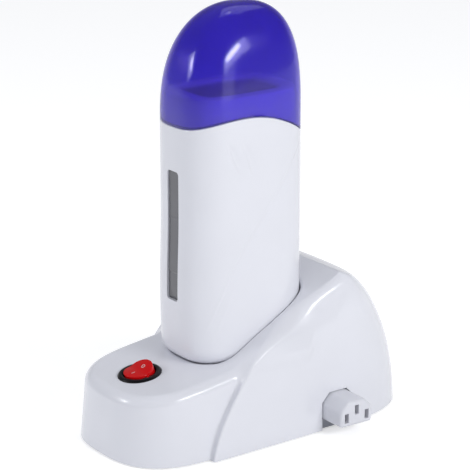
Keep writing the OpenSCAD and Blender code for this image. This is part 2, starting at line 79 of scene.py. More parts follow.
def finishPiece(piece, body, material, nodes, sharp, smooth=True):
    piece.data.materials.clear()
    piece.data.materials.append(material)
    if smooth:
        piece.data.polygons.foreach_set("use_smooth", [True] * len(piece.data.polygons))
        piece.data.set_sharp_from_angle(angle=math.radians(sharp))
    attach(piece, body)
    if nodes:
        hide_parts(*nodes)


def cutAway(piece, cutters, operation="DIFFERENCE"):
    # real holes: each cutter is a closed bmesh drawn about the handset's axis; with INTERSECT
    # only what lies inside it stays
    for bm in cutters:
        bmesh.ops.translate(bm, verts=bm.verts, vec=handsetAxis)
        bmesh.ops.recalc_face_normals(bm, faces=bm.faces)
        mesh = bpy.data.meshes.new("cutter")
        bm.to_mesh(mesh)
        bm.free()
        tool = bpy.data.objects.new("cutter", mesh)
        bpy.context.scene.collection.objects.link(tool)
        cut = piece.modifiers.new("cut", "BOOLEAN")
        cut.operation, cut.solver, cut.object = operation, "EXACT", tool
        bpy.context.view_layer.update()
        result = bpy.data.meshes.new_from_object(
            piece.evaluated_get(bpy.context.evaluated_depsgraph_get()))
        piece.modifiers.remove(cut)
        piece.data = result
        bpy.data.objects.remove(tool)
    return piece


def barBm(outline, depth):
    # closed bar: an outline in the XY plane pulled along +Z
    bm = bmesh.new()
    face = bm.faces.new([bm.verts.new((x * mm, y * mm, 0)) for x, y in outline])
    moved = bmesh.ops.extrude_face_region(bm, geom=[face])
    bmesh.ops.translate(bm, vec=(0, 0, depth * mm),
                        verts=[v for v in moved["geom"] if isinstance(v, bmesh.types.BMVert)])
    bmesh.ops.recalc_face_normals(bm, faces=bm.faces)
    return bm


def roundEdges(bm, width, segments, minAngle=30, keep=None):
    edges = [e for e in bm.edges if e.is_manifold and e.calc_face_angle(0) > math.radians(minAngle)
             and (keep is None or keep(e))]
    bmesh.ops.bevel(bm, geom=edges, offset=width * mm, offset_type="OFFSET", affect="EDGES",
                    segments=segments, profile=0.5, material=-1, clamp_overlap=True)


def joinBm(target, other):
    mesh = bpy.data.meshes.new("part")
    other.to_mesh(mesh)
    other.free()
    target.from_mesh(mesh)
    bpy.data.meshes.remove(mesh)


# ---- materials ----

def addNode(material, kind, settings=None, links=None):
    # one node, its values, and what feeds its inputs
    node = material.node_tree.nodes.new(kind)
    for key, value in (settings or {}).items():
        if isinstance(key, int) or key in node.inputs:
            node.inputs[key].default_value = value
        else:
            setattr(node, key, value)
    for key, socket in (links or {}).items():
        material.node_tree.links.new(socket, node.inputs[key])
    return node


def newMaterial(name):
    material = bpy.data.materials.new(name)
    material.use_nodes = True
    material.node_tree.nodes.clear()
    output = addNode(material, "ShaderNodeOutputMaterial")
    place = addNode(material, "ShaderNodeTexCoord").outputs["Object"]
    return material, output, place


def perMetre(size):
    # texture scale that makes one feature about this many millimetres
    return 1000.0 / size


def mouldedPlastic(name, code, roughness, ior=1.53, drift=0.012, peel=0.02, peelSize=1.6, level=0.5):
    # injection-moulded plastic: an even colour with a faint drift, and a skin that is
    # very slightly uneven, drawn a little coarser than the real one so that it shows
    material, output, place = newMaterial(name)
    cloud = addNode(material, "ShaderNodeTexNoise", {"Scale": perMetre(38), "Detail": 2.0}, {"Vector": place})
    shade = addNode(material, "ShaderNodeMapRange",
                    {"From Min": 0.3, "From Max": 0.7, "To Min": 1 - drift, "To Max": 1 + drift},
                    {"Value": cloud.outputs["Fac"]})
    tint = addNode(material, "ShaderNodeHueSaturation", {"Color": colour(code)},
                   {"Value": shade.outputs["Result"]})
    skin = addNode(material, "ShaderNodeTexNoise", {"Scale": perMetre(peelSize), "Detail": 3.0},
                   {"Vector": place})
    bump = addNode(material, "ShaderNodeBump", {"Strength": peel, "Distance": 0.1 * mm},
                   {"Height": skin.outputs["Fac"]})
    rub = addNode(material, "ShaderNodeMapRange",
                  {"From Min": 0.25, "From Max": 0.75,
                   "To Min": roughness - 0.03, "To Max": roughness + 0.03},
                  {"Value": cloud.outputs["Fac"]})
    shader = addNode(material, "ShaderNodeBsdfPrincipled",
                     {"IOR": ior, "Specular IOR Level": level},
                     {"Base Color": tint.outputs["Color"], "Roughness": rub.outputs["Result"],
                      "Normal": bump.outputs["Normal"]})
    material.node_tree.links.new(shader.outputs["BSDF"], output.inputs["Surface"])
    return material


def metal(name, code, roughness, grain=0.6, stretch=(1, 1, 14)):
    # worked metal: fine drawing lines along one direction break up the reflections
    material, output, place = newMaterial(name)
    turn = addNode(material, "ShaderNodeMapping", {"Scale": [perMetre(grain) / s for s in stretch]},
                   {"Vector": place})
    lines = addNode(material, "ShaderNodeTexNoise", {"Scale": 1.0, "Detail": 4.0},
                    {"Vector": turn.outputs["Vector"]})
    rub = addNode(material, "ShaderNodeMapRange",
                  {"From Min": 0.3, "From Max": 0.7, "To Min": roughness - 0.07, "To Max": roughness + 0.09},
                  {"Value": lines.outputs["Fac"]})
    bump = addNode(material, "ShaderNodeBump", {"Strength": 0.12, "Distance": 0.05 * mm},
                   {"Height": lines.outputs["Fac"]})
    shade = addNode(material, "ShaderNodeMapRange", {"To Min": 0.9, "To Max": 1.08},
                    {"Value": lines.outputs["Fac"]})
    tint = addNode(material, "ShaderNodeHueSaturation", {"Color": colour(code)},
                   {"Value": shade.outputs["Result"]})
    shader = addNode(material, "ShaderNodeBsdfPrincipled", {"Metallic": 1.0},
                     {"Base Color": tint.outputs["Color"], "Roughness": rub.outputs["Result"],
                      "Normal": bump.outputs["Normal"]})
    material.node_tree.links.new(shader.outputs["BSDF"], output.inputs["Surface"])
    return material


def clearPlastic(name, code, roughness, shine, body, lampCode):
    # moulded clear plastic with dye in it: gloss outside, partly see-through,
    # and lamps reach what is behind it
    material, output, place = newMaterial(name)
    wave = addNode(material, "ShaderNodeTexNoise", {"Scale": perMetre(22), "Detail": 1.0}, {"Vector": place})
    bump = addNode(material, "ShaderNodeBump", {"Strength": 0.03, "Distance": 0.3 * mm},
                   {"Height": wave.outputs["Fac"]})
    shade = addNode(material, "ShaderNodeMapRange", {"To Min": 0.95, "To Max": 1.05},
                    {"Value": wave.outputs["Fac"]})
    tint = addNode(material, "ShaderNodeHueSaturation", {"Color": colour(code)},
                   {"Value": shade.outputs["Result"]})
    glass = addNode(material, "ShaderNodeBsdfPrincipled",
                    {"Roughness": roughness, "IOR": 1.49, "Transmission Weight": body,
                     "Specular IOR Level": shine},
                    {"Base Color": tint.outputs["Color"], "Normal": bump.outputs["Normal"]})
    lamp = addNode(material, "ShaderNodeBsdfTransparent", {"Color": colour(lampCode)})
    path = addNode(material, "ShaderNodeLightPath")
    mix = addNode(material, "ShaderNodeMixShader", None,
                  {0: path.outputs["Is Shadow Ray"], 1: glass.outputs["BSDF"], 2: lamp.outputs["BSDF"]})
    material.node_tree.links.new(mix.outputs["Shader"], output.inputs["Surface"])
    return material


def rubberMaterial(name, code):
    # moulded rubber: dull, with a fine grain
    material, output, place = newMaterial(name)
    grain = addNode(material, "ShaderNodeTexNoise", {"Scale": perMetre(0.7), "Detail": 4.0},
                    {"Vector": place})
    bump = addNode(material, "ShaderNodeBump", {"Strength": 0.2, "Distance": 0.1 * mm},
                   {"Height": grain.outputs["Fac"]})
    shade = addNode(material, "ShaderNodeMapRange", {"To Min": 0.8, "To Max": 1.2},
                    {"Value": grain.outputs["Fac"]})
    tint = addNode(material, "ShaderNodeHueSaturation", {"Color": colour(code)},
                   {"Value": shade.outputs["Result"]})
    shader = addNode(material, "ShaderNodeBsdfPrincipled", {"Roughness": 0.78},
                     {"Base Color": tint.outputs["Color"], "Normal": bump.outputs["Normal"]})
    material.node_tree.links.new(shader.outputs["BSDF"], output.inputs["Surface"])
    return material


# glossy ABS: cool white with soft clear highlights
whiteAbs = mouldedPlastic("glossWhiteAbs", "#e6e7ee", 0.2)
# collar under the cap: a cleaner white than the shells
collarAbs = mouldedPlastic("satinSnowAbs", "#f2f3fa", 0.38)
# ABS off a plainer tool: the same white, less gloss
innerAbs = mouldedPlastic("satinWhiteAbs", "#e2e4ea", 0.38)
# outlet block: duller than the shell, and greyer as painted shade that tones down the strong lamp on its side
outletPaintedShadeAbs = mouldedPlastic("satinPaleAbsPaintedShade", "#dfe0e7", 0.3)
plateGreyAndShadeAbs = mouldedPlastic("satinGreyAbsAndShade", "#9fa2ab", 0.45)  # grey ABS, even and dull beside the white; its grey tab in the notch under the outlet is painted shade
# switch nylon: near black, half gloss
blackNylon = mouldedPlastic("blackNylon", "#141316", 0.3, drift=0.05, peel=0.05, level=0.25)
# rocker: deep signal red, glossy
redPolycarbonate = mouldedPlastic("redPolycarbonate", "#cf0a10", 0.22, drift=0.03, level=0.3)
markWhite = mouldedPlastic("printedWhite", "#d8b8b8", 0.4)  # pad-printed marks: thin white over red
# dyed clear cap: deep blue-violet, soft-edged bright reflections
capAcrylic = clearPlastic("violetClearAcrylic", "#5c49d0", 0.14, 0.5, 0.8, "#f6f5ff")
# the same dye, darker and less clear: painted shade for the dark line of the gap and of the dye seen along
# the wall at the cap's lower edge
capRimPaintedShade = clearPlastic("violetClearAcrylicPaintedShade", "#2a1f86", 0.14, 0.5, 0.4, "#9a94d8")
# smoky window: grey and a little see-through
smokeLens = clearPlastic("smokedLens", "#8a8a90", 0.12, 0.5, 0.5, "#b0b0b4")
steelMetal = metal("nickelPlatedSteel", "#b9bbbf", 0.3)  # plated steel: bright grey with drawing lines
brassMetal = metal("stampedBrass", "#c9a35a", 0.32)  # stamped brass: warm yellow, softly reflecting
aluminiumMetal = metal("drawnAluminium", "#c4c6ca", 0.36)  # deep-drawn aluminium: pale and satin
rubberBlack = rubberMaterial("mouldedRubber", "#2b2b2d")
ceramicGrey = rubberMaterial("pressedCeramic", "#8b8782")
brownPvc = mouldedPlastic("brownPvc", "#6a3a20", 0.42)  # soft wire jacket, slightly waxy
bluePvc = mouldedPlastic("bluePvc", "#2f55a8", 0.42)
greenPvc = mouldedPlastic("greenYellowPvc", "#8fae2c", 0.42)

nodeFinish = {
    "base_bottom_plate": plateGreyAndShadeAbs, "base_feet": rubberBlack, "base_screws": steelMetal,
    "switch_contact": brassMetal, "switch_terminals": brassMetal,
    "side_outlet_contacts": brassMetal, "side_inlet": innerAbs, "side_inlet_pins": steelMetal,
    "dock_socket": innerAbs, "dock_socket_contacts": brassMetal, "dock_screws": steelMetal,
    "wire_live": brownPvc, "wire_neutral": bluePvc, "wire_earth": greenPvc,
    "handset_cover": innerAbs, "handset_screws": steelMetal, "handset_inlet": innerAbs,
    "handset_inlet_pins": steelMetal, "heater_chamber": aluminiumMetal, "heater_elements": ceramicGrey,
    "heater_clamp": steelMetal, "thermostat": steelMetal, "thermal_fuse": steelMetal,
    "lead_live": brownPvc, "lead_neutral": bluePvc}
for node, material in nodeFinish.items():
    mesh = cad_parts[node].data
    mesh.materials.clear()
    mesh.materials.append(material)
print("materials made")


# ---- shapes shared with the solids ----

def power(c, n):
    return np.sign(c) * np.abs(c) ** (2 / n)


base = {"noseLen": 88, "rearLen": 104, "noseHalf": 44, "humpHalf": 48.3, "humpTop": 87, "deckZ": 41.1,
        "deckSlope": 8.1, "deckR": 6, "wall": 2.4, "floorGap": 0.8, "draft": 2.6, "noseMid": -42,
        "noseN": 2.8, "humpN": 2.7, "switchY": 61.1, "switchHole": 10.5,
        "stepHalf": 48.25, "tailHalf": 45.9,  # half widths at the floor, at the step and at the tail
        "stepFillet": 1.3,  # radius of the crease where the hump's side starts
        "saddleFillet": 9.0,  # and of the soft valley between deck and hump
        "lip": 0.9}  # rounding of the well's mouth
hand = {"a": 38.2, "b": 28, "n": 3, "z": 44, "foot": 9, "bulge": 1.1, "bulgeZ": 82, "wall": 2,
        "rimZ": 183.5, "rimSag": 17, "collarTop": 195}


def deckAt(y):
    return base["deckZ"] + math.tan(math.radians(base["deckSlope"])) * (y + base["switchY"])


def humpFront(z):
    # profile of the hump's front: a steep curved foot that turns into the long ramp
    z = np.maximum(z, 0)
    foot = -44.56 + 0.157 * z + 0.0118 * z ** 2 - 7.4e-5 * z ** 3
    ramp = -19 + 1.45 * (z - 50) + 0.0131 * (z - 50) ** 2
    return np.maximum(foot, ramp) + np.maximum(4 - np.abs(foot - ramp), 0) ** 2 / 16


humpRidge = float(humpFront(np.array(base["humpTop"]))) + 1.5


def ovalDistance(x, y, a, b, n):
    # about the distance to a rounded oblong, negative inside
    ax, ay = np.maximum(np.abs(x), 1e-6) / a, np.maximum(np.abs(y), 1e-6) / b
    rho = (ax ** n + ay ** n) ** (1 / n)
    slope = np.sqrt((ax ** (n - 1) / a) ** 2 + (ay ** (n - 1) / b) ** 2) * rho ** (1 - n)
    return (rho - 1) / slope


def roundedMeet(p, q, r):
    # corner of two walls, rounded with radius r
    return (np.minimum(np.maximum(p + r, q + r), 0)
            + np.hypot(np.maximum(p + r, 0), np.maximum(q + r, 0)) - r)


def softStep(x, lo, hi):
    t = np.clip((x - lo) / (hi - lo), 0, 1)
    return t * t * (3 - 2 * t)


def baseField(x, y, z):
    # below zero inside the base: the nose and the hump with a fillet between them
    top = deckAt(y)
    e = base["draft"] * np.clip((z - base["floorGap"]) / (top - base["deckR"] - base["floorGap"]), 0, 1)
    side = np.where(y < base["noseMid"],
                    ovalDistance(x, np.minimum(y - base["noseMid"], 0), base["noseHalf"] - e,
                                 base["noseLen"] + base["noseMid"] - e, base["noseN"]),
                    np.abs(x) - (base["noseHalf"] - e))
    nose = roundedMeet(side, (z - top) * math.cos(math.radians(base["deckSlope"])), base["deckR"])
    nose = np.maximum(nose, (y - 20))
    zt = np.clip(z / base["humpTop"], 0, 0.9995)
    front = humpFront(z)
    back = humpRidge + (base["rearLen"] - humpRidge) * (1 - zt ** 2) ** 0.61
    half = base["humpHalf"] - 0.062 * z - 5.6 * zt ** 6
    middle = (front + back) / 2
    pinch = 5.8 * np.exp(-((z - 70.5) / 9) ** 2)  # the sides draw in beside the ramp
    share = np.clip((y - front) / np.maximum(middle - front, 0.1), 0, 1)
    flank = np.abs(x) - (half - pinch + (pinch - 2.4) * share)
    tail = ovalDistance(x, np.maximum(y - middle, 0), half - 2.4, np.maximum(back - middle, 0.4),
                        base["humpN"])
    side = np.where(y > middle, tail, flank)
    lean = (humpFront(z + 0.05) - humpFront(z - 0.05)) / 0.1
    corner = 1.2 + 4.8 * softStep(z, 46, 66)
    hump = roundedMeet(side, (front - y) / np.sqrt(1 + lean ** 2), corner)
    hump = np.maximum(hump, z - base["humpTop"])
    k = base["stepFillet"] + (base["saddleFillet"] - base["stepFillet"]) * softStep(z, 38, 52)
    h = np.clip(0.5 + 0.5 * (hump - nose) / k, 0, 1)
    return hump * (1 - h) + nose * h - k * h * (1 - h)


def castRays(origin, through, inset, reach=150.0, steps=90):
    # where rays from inside leave the body, found by steps and then by halving
    d = through - origin
    d = d / np.linalg.norm(d, axis=-1, keepdims=True)
    lo = np.zeros(d.shape[:-1])
    hi = np.full(d.shape[:-1], reach)
    done = np.zeros(d.shape[:-1], bool)
    for s in np.linspace(0, reach, steps)[1:]:
        p = origin + d * s
        out = (baseField(p[..., 0], p[..., 1], p[..., 2]) + inset > 0) & ~done
        hi = np.where(out, s, hi)
        done |= out
        lo = np.where(done, lo, s)
    for _ in range(22):
        mid = (lo + hi) / 2
        p = origin + d * mid[..., None]
        out = baseField(p[..., 0], p[..., 1], p[..., 2]) + inset > 0
        hi = np.where(out, mid, hi)
        lo = np.where(out, lo, mid)
    return origin + d * hi[..., None]


def evenRows(points, rows, bend=4.0, blur=90):
    # the same curves with their points spread by length and by turning; the spread changes
    # smoothly from one curve to the next, so that no row is kinked
    seg = np.diff(points, axis=1)
    length = np.linalg.norm(seg, axis=-1)
    unit = seg / np.maximum(length[..., None], 1e-9)
    turn = np.arccos(np.clip((unit[:, 1:] * unit[:, :-1]).sum(-1), -1, 1))
    turn = np.pad(turn, ((0, 0), (0, 1)))
    cost = np.concatenate([np.zeros((len(points), 1)), np.cumsum(length + bend * turn, axis=1)], axis=1)
    index = np.arange(points.shape[1])
    at = np.array([np.interp(np.linspace(0, c[-1], rows), c, index) for c in cost])
    for _ in range(blur):
        wide = np.concatenate([at[1:2], at, at[-2:-1]])
        at = (wide[:-2] + 2 * at + wide[2:]) / 4
    return np.array([[np.interp(want, index, p[:, k]) for k in range(3)]
                     for want, p in zip(at, points)]).transpose(0, 2, 1)


def settle(points, inset):
    # last small move onto the surface, along its slope
    for _ in range(3):
        x, y, z = points[..., 0], points[..., 1], points[..., 2]
        f = baseField(x, y, z) + inset
        h = 0.01
        slope = np.stack([baseField(x + h, y, z) + inset - f, baseField(x, y + h, z) + inset - f,
                          baseField(x, y, z + h) + inset - f], axis=-1) / h
        step = np.clip(f / np.maximum((slope ** 2).sum(-1), 0.2), -0.3, 0.3)
        points = points - step[..., None] * slope
    return points


def alongPath(path, count=None, at=None):
    # points along a polyline at equal shares of its length, or at given lengths
    length = np.concatenate([[0], np.cumsum(np.linalg.norm(np.diff(path, axis=0), axis=1))])
    want = np.linspace(0, length[-1], count) if at is None else at
    return np.stack([np.interp(want, length, path[:, k]) for k in range(path.shape[1])], axis=1), length[-1]


def handBulge(z):
    return np.where(np.abs(z - hand["bulgeZ"]) < 50,
                    hand["bulge"] * (1 + np.cos(np.pi * (z - hand["bulgeZ"]) / 50)) / 2, 0)


def handRing(angle, z, inset):
    # point of the handset's section at height z, inset from its skin; angle 0 is +X, 90 is +Y
    swell = handBulge(z)
    return np.stack([(hand["b"] - inset) * power(np.cos(angle), hand["n"]),
                     -swell / 2 + (hand["a"] + swell / 2 - inset) * power(np.sin(angle), hand["n"]),
                     z + 0 * angle], axis=-1)


def footInset(z):
    # how far the rounded foot stands in at height z
    rise = np.clip((hand["z"] + hand["foot"] - z) / hand["foot"], 0, 1)
    return hand["foot"] * (1 - np.sqrt(1 - rise ** 2))


def rimAt(y):
    return hand["rimZ"] - hand["rimSag"] * np.where(y > -8, 1, 0.8) * ((y + 8) / 46) ** 2


# ---- base shell ----

def baseHalf():
    f0 = float(humpFront(np.array(base["floorGap"])))
    t = np.linspace(0, np.pi / 2, 400)
    half, reach, middle = base["noseHalf"], base["noseLen"] + base["noseMid"], base["noseMid"]
    nose = np.stack([half * power(np.sin(t), base["noseN"]),
                     middle - reach * power(np.cos(t), base["noseN"])], axis=1)
    nose = nose[nose[:, 1] < f0]
    rear = base["rearLen"]
    middle = (f0 + rear) / 2
    back = np.stack([base["tailHalf"] * power(np.cos(t), base["humpN"]),
                     middle + (rear - middle) * power(np.sin(t), base["humpN"])], axis=1)
    foot = np.concatenate([nose, [[half, f0]], [[base["stepHalf"], f0]], back])
    noseLength = alongPath(foot[:len(nose) + 1], 2)[1]
    total = alongPath(foot, 2)[1]
    crease = noseLength + 2.1
    # columns: 1.7 mm apart, closer at the crease
    marks = [0.0]
    while marks[-1] < total:
        marks.append(marks[-1] + 1.7 - 1.3 * math.exp(-((marks[-1] - crease) / 5.0) ** 2))
    marks = np.array(marks) * total / marks[-1]
    footPoints, _ = alongPath(foot, at=marks)
    # matching columns round the well's mouth
    t = np.linspace(-np.pi / 2, np.pi / 2, 1200)
    mouth = handRing(t, 50.0, 0)
    lengthOf = np.concatenate([[0], np.cumsum(np.linalg.norm(np.diff(mouth[:, :2], axis=0), axis=1))])
    yOf = mouth[:, 1]
    q1, q2 = lengthOf[yOf < -27][-1], lengthOf[yOf < -22][-1]
    along = np.interp(marks, [0, noseLength, noseLength + 4.2, total], [0, q1, q2, lengthOf[-1]])
    angle = np.interp(along, lengthOf, t)
    angle[0], angle[-1] = -np.pi / 2, np.pi / 2
    warp = 1 - softStep(np.maximum(np.abs(marks - crease) - 2.1, 0), 0, 46)

    def rim(gap, drop, inset):
        # where the well's wall, gap outside the handset, meets the skin
        z = np.full(len(angle), 52.0)
        for _ in range(24):
            p = handRing(angle, z, footInset(z + drop) - gap)
            up = castRays(np.stack([p[:, 0], p[:, 1], 0 * z + 20], axis=1),
                          np.stack([p[:, 0], p[:, 1], 0 * z + 120], axis=1), inset)
            z = 0.4 * z + 0.6 * up[:, 2]
        return z

    def skin(inset, gap, drop, rows, lip):
        zRim = rim(gap, drop, inset)
        edge = handRing(angle, zRim, footInset(zRim + drop) - gap - lip)
        pivot = np.stack([edge[:, 0], edge[:, 1], 0 * zRim + 18], axis=1)
        low = base["floorGap"]
        z1 = np.linspace(low, 40, 90)
        f = humpFront(z1) - f0
        wall = np.stack([footPoints[:, None, 0] + 0 * z1, footPoints[:, None, 1] + warp[:, None] * f[None, :],
                         z1[None, :] + 0 * footPoints[:, None, 0]], axis=-1)
        aim = np.stack([edge[:, 0], edge[:, 1], 0 * zRim + 130], axis=1)
        s = np.linspace(0, 1, 190)[1:, None] ** 1.3
        over = wall[:, -1:, :] * (1 - s[None]) + aim[:, None, :] * s[None]
        target = np.concatenate([wall, over], axis=1)
        hit = castRays(pivot[:, None, :] + 0 * target, target, inset)
        # the foot of the wall lies in the plane of the shell's lower edge
        inside = np.stack([0.7 * footPoints[:, 0], 0.7 * footPoints[:, 1] + 3, 0 * zRim + low], axis=1)
        beyond = np.stack([footPoints[:, 0], footPoints[:, 1], 0 * zRim + low], axis=1)
        foot0 = castRays(inside, beyond, inset)
        hit = hit[:, 2:]
        hit = np.concatenate([foot0[:, None], hit], axis=1)
        even = evenRows(hit, rows)
        even[:, 1:-1] = settle(even[:, 1:-1], inset)
        return even, zRim

    def wellWall(zRim, gap, drop, rows, lip):
        # down the well's wall, round its foot and in to the opening for the connector
        bend = hand["z"] + hand["foot"] - drop
        out = []
        for i, a in enumerate(angle):
            mouthZ = zRim[i] - lip
            straight = np.linspace(max(mouthZ, bend), bend, 60, endpoint=False) if mouthZ > bend else []
            turn = math.asin(min(1, max(0, (bend - zRim[i] + lip) / hand["foot"])))
            zs = np.concatenate([straight, bend - hand["foot"] * np.sin(np.linspace(turn, np.pi / 2, 40))])
            out.append(alongPath(handRing(np.full(len(zs), a), zs, footInset(zs + drop) - gap), rows)[0])
        return np.array(out)

    lip = base["lip"]
    outer, zRim = skin(0.0, 0.8, 0.4, 124, lip)
    curl = []
    for k in (22.5, 45, 67.5):
        w = math.radians(k)
        z = zRim - lip * (1 - math.cos(w))
        curl.append(handRing(angle, z, footInset(zRim + 0.4 - 0.5 * lip) - 0.8 - lip * (1 - math.sin(w))))
    curl = np.stack(curl, axis=1)
    inWell = wellWall(zRim, 0.8, 0.4, 20, lip)
    # opening in the well's floor for the dock connector
    corner = np.stack([8.3 * np.clip(1.35 * np.cos(angle), -1, 1),
                       11.3 * np.clip(1.25 * np.sin(angle), -1, 1)], axis=1)

    def hole(z):
        return np.concatenate([corner, np.full((len(corner), 1), z)], axis=1)[:, None]

    inner, zInner = skin(base["wall"], 3.0, 2.8, 40, 0.1)
    under = wellWall(zInner, 3.0, 2.8, 10, 0.0)
    rows = [outer, curl, inWell, (inWell[:, -1:] + hole(43.6)) / 2, hole(43.6), hole(41.2),
            (under[:, -1:] + hole(41.2)) / 2, under[:, ::-1], inner[:, ::-1], outer[:, :1]]
    half = np.concatenate(rows, axis=1)
    half[0, :, 0] = half[-1, :, 0] = 0.0
    return half


bm = mapGrid(baseHalf(), weld=2e-6)
bmesh.ops.mirror(bm, geom=bm.verts[:] + bm.edges[:] + bm.faces[:], axis="X", merge_dist=2e-5)
# the mirror welds the middle line; doubles left by it go too
bmesh.ops.remove_doubles(bm, verts=bm.verts, dist=3e-6)
bmesh.ops.dissolve_degenerate(bm, edges=bm.edges, dist=1e-6)
basePiece = makePiece("baseShell", bm, "base", whiteAbs, ["base_shell"], sharp=40)
print("base shell", len(basePiece.data.polygons))

# the holes for switch, outlet and inlet
port = {"y": 42.7, "half": 11, "height": 15, "z": 6.8, "face": 61.8, "chamfer": 5.5, "pitch": 14,
        "edge": 1.8,  # rounding of the block's face
        "slot": (2.8, 5.5),
        "gap": 0.45, "inletGap": 2.5,  # room round the outlet and round the inlet in the shell
        "notchHalf": 11.7}  # notch of the shell's lower edge under the outlet


def portOutline(g):
    h, t, c = port["half"] + g, port["height"] + g, port["chamfer"] - 0.4 * g
    return [(-h, -g), (h, -g), (h, t - c), (h - c, t), (c - h, t), (-h, t - c)]


layAlongX = Matrix(((0, 0, 1), (1, 0, 0), (0, 1, 0))).to_4x4()  # turns X to Y, Y to Z and Z to X


def alongX(bm, x0):
    # a bar drawn in XY and pulled along Z, laid along X at the side connectors' place
    place = Matrix.Translation(Vector((x0, port["y"], port["z"])) * mm)
    bmesh.ops.transform(bm, matrix=place @ layAlongX, verts=bm.verts)
    return bm


def atSwitch():
    tilt = math.radians(base["deckSlope"])
    place = Matrix.Translation(Vector((0, -base["switchY"], base["deckZ"])) * mm)
    return place @ Matrix.Rotation(tilt, 4, "X")


hole = bmesh.new()
bmesh.ops.create_cone(hole, cap_ends=True, segments=96, radius1=base["switchHole"] * mm,
                      radius2=base["switchHole"] * mm, depth=14 * mm)
bmesh.ops.transform(hole, matrix=atSwitch(), verts=hole.verts)
outletHole = alongX(barBm(portOutline(port["gap"]), 16), 36)
reach = port["notchHalf"]
notch = alongX(barBm([(-reach, -8), (reach, -8), (reach, 2), (-reach, 2)], 16), 36)
inletHole = alongX(barBm(portOutline(port["inletGap"]), 16), -52)
cutAway(basePiece, [hole, outletHole, notch, inletHole])
finishPiece(basePiece, "base", whiteAbs, [], 40)
print("base shell cut", len(basePiece.data.polygons))


# ---- switch ----

switch = {"bezel": 12.4, "taper": 0.7, "flange": 1.2, "mouth": 9.45, "barrel": 10.4, "tilt": 12,
          "rockerR": 8.4, "pivotUp": 0.2, "halfX": 8.0,
          "cheekR": 9.7, "cheekX": 8.4,  # cheeks that carry the rocker
          "swingR": 9.0,  # the rocker's ends are rounded about its hinge
          "rockerEdge": 0.45, "trunnionR": 1.2, "trunnionLen": 18.6, "markY": 3.5}


def bezelBm():
    # the ring's section, spun round the switch's axis
    s = switch
    section = [(0, -12), (s["mouth"], -12), (s["mouth"], s["flange"] - 0.5),
               (s["mouth"] + 0.15, s["flange"] - 0.15),
               (s["mouth"] + 0.5, s["flange"]), (s["bezel"] - s["taper"] - 0.5, s["flange"]),
               (s["bezel"] - s["taper"] - 0.1, s["flange"] - 0.15), (s["bezel"] - 0.4, s["flange"] - 0.7),
               (s["bezel"] - 0.05, 0.25), (s["bezel"], 0.02), (s["barrel"], 0.02), (s["barrel"], -14),
               (0, -14)]
    bm = bmesh.new()
    verts = [bm.verts.new((x * mm, 0, z * mm)) for x, z in section]
    edges = [bm.edges.new(pair) for pair in zip(verts, verts[1:])]
    bmesh.ops.spin(bm, geom=verts + edges, cent=(0, 0, 0), axis=(0, 0, 1), angle=2 * math.pi,
                   steps=96, use_merge=True)
    bmesh.ops.remove_doubles(bm, verts=bm.verts, dist=2e-5)
    # the two cheeks that carry the rocker
    for side in (-1, 1):
        cheek = bmesh.new()
        bmesh.ops.create_cone(cheek, cap_ends=True, segments=96, radius1=s["cheekR"] * mm,
                              radius2=s["cheekR"] * mm, depth=10.2 * mm)
        bmesh.ops.translate(cheek, verts=cheek.verts, vec=(0, 0, -5.1 * mm + 0.9 * mm))
        bmesh.ops.bisect_plane(cheek, geom=cheek.verts[:] + cheek.edges[:] + cheek.faces[:],
                               plane_co=(side * s["cheekX"] * mm, 0, 0), plane_no=(-side, 0, 0),
                               clear_outer=True)
        bmesh.ops.holes_fill(cheek, edges=cheek.edges, sides=0)
        joinBm(bm, cheek)
    bmesh.ops.transform(bm, matrix=atSwitch(), verts=bm.verts)
    return bm


makePiece("switchHousing", bezelBm(), "base", blackNylon, ["switch_housing"], sharp=38)


def rockerBm():
    s = switch
    t = math.tan(math.radians(s["tilt"]))
    tip = 1.8 + 9.5 * t
    # side profile of the two paddles, with the valley softened
    profile = [(-9.5, -3), (9.5, -3), (9.5, tip), (2.4, 1.8 + 2.4 * t), (1.1, 1.8 + 1.35 * t),
               (0, 1.8 + 0.9 * t), (-1.1, 1.8 + 1.35 * t), (-2.4, 1.8 + 2.4 * t), (-9.5, tip)]
    bm = barBm(profile, 2 * s["halfX"])
    bmesh.ops.transform(bm, matrix=Matrix.Translation((-s["halfX"] * mm, 0, 0)) @ layAlongX,
                        verts=bm.verts)
    return bm


bm = rockerBm()
rocker = makePiece("switchRocker", bm, "rocker", redPolycarbonate, ["switch_rocker"])
# round it in plan and by its swing, as the solid is
rings = []
for radius, axis in ((switch["rockerR"], "Z"), (switch["swingR"], "X")):
    ring = bmesh.new()
    bmesh.ops.create_cone(ring, cap_ends=True, segments=128, radius1=radius * mm, radius2=radius * mm,
                          depth=40 * mm)
    if axis == "X":
        bmesh.ops.rotate(ring, verts=ring.verts, matrix=Matrix.Rotation(math.pi / 2, 3, "Y"))
    rings.append(ring)
cutAway(rocker, rings, "INTERSECT")
bm = bmesh.new()
bm.from_mesh(rocker.data)
bmesh.ops.translate(bm, verts=bm.verts, vec=-handsetAxis)
bmesh.ops.remove_doubles(bm, verts=bm.verts, dist=5e-6)
bmesh.ops.dissolve_limit(bm, angle_limit=math.radians(1.0), verts=bm.verts, edges=bm.edges)
roundEdges(bm, switch["rockerEdge"], 3, minAngle=35)
rest = (atSwitch() @ Matrix.Translation((0, 0, switch["pivotUp"] * mm))
        @ Matrix.Rotation(math.radians(switch["tilt"]), 4, "X"))
trunnion = bmesh.new()
bmesh.ops.create_cone(trunnion, cap_ends=True, segments=32, radius1=switch["trunnionR"] * mm,
                      radius2=switch["trunnionR"] * mm, depth=switch["trunnionLen"] * mm)
bmesh.ops.rotate(trunnion, verts=trunnion.verts, matrix=Matrix.Rotation(math.pi / 2, 3, "Y"))
joinBm(bm, trunnion)
bmesh.ops.transform(bm, matrix=rest, verts=bm.verts)
bmesh.ops.translate(bm, verts=bm.verts, vec=handsetAxis)
bmesh.ops.recalc_face_normals(bm, faces=bm.faces)
bm.to_mesh(rocker.data)
bm.free()
finishPiece(rocker, "rocker", redPolycarbonate, [], 38)


